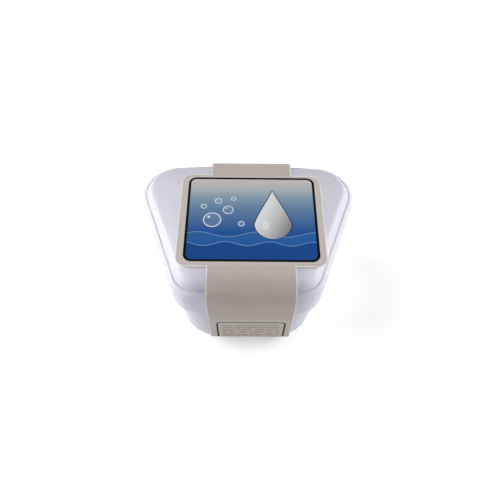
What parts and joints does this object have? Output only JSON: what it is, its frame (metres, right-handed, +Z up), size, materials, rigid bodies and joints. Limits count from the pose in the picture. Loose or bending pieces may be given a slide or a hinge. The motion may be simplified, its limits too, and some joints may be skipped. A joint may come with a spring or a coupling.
{
  "type": "denture case",
  "caption": "Deep denture soaking case with tapered tub, shallow raised lid on a back hinge, and a folded card label sleeve that slides off sideways.",
  "frame": {"origin": "middle of the case's box, on the surface it stands on", "axes": "+X to the case's right, +Y from the narrow front to the hinge, +Z up"},
  "size_m": [0.0986, 0.0816, 0.0569],
  "materials": {
    "tub_plastic": "satin moulded polypropylene, milky lavender white",
    "lid_plastic": "satin moulded polypropylene, milky lavender white",
    "printed_card": "coated folding board, warm grey, with a blue printed panel",
    "plain_card": "coated folding board, warm grey"
  },
  "bodies": {
    "case": {"tub": "tub_plastic"},
    "cover": {"lid": "lid_plastic"},
    "sleeve_base": {"sleeve_lower": "plain_card"},
    "sleeve_top": {"sleeve_upper": "printed_card"}
  },
  "joints": [
    {"name": "lid_hinge", "type": "hinge", "parent": "case", "child": "cover", "pos_m": [0, 0.03765, 0.04652], "axis": [-1, 0, 0], "range_deg": [0, 100]},
    {"name": "sleeve_slide", "type": "slide", "parent": "case", "child": "sleeve_base", "axis": [1, 0, 0], "range_m": [-0.085, 0.085]},
    {"name": "sleeve_fold", "type": "hinge", "parent": "sleeve_base", "child": "sleeve_top", "pos_m": [0, 0.03765, 0.04652], "axis": [-1, 0, 0], "range_deg": [0, 100]}
  ],
  "couplings": [
    {"joint": "sleeve_fold", "follows": "lid_hinge", "ratio": 1}
  ]
}
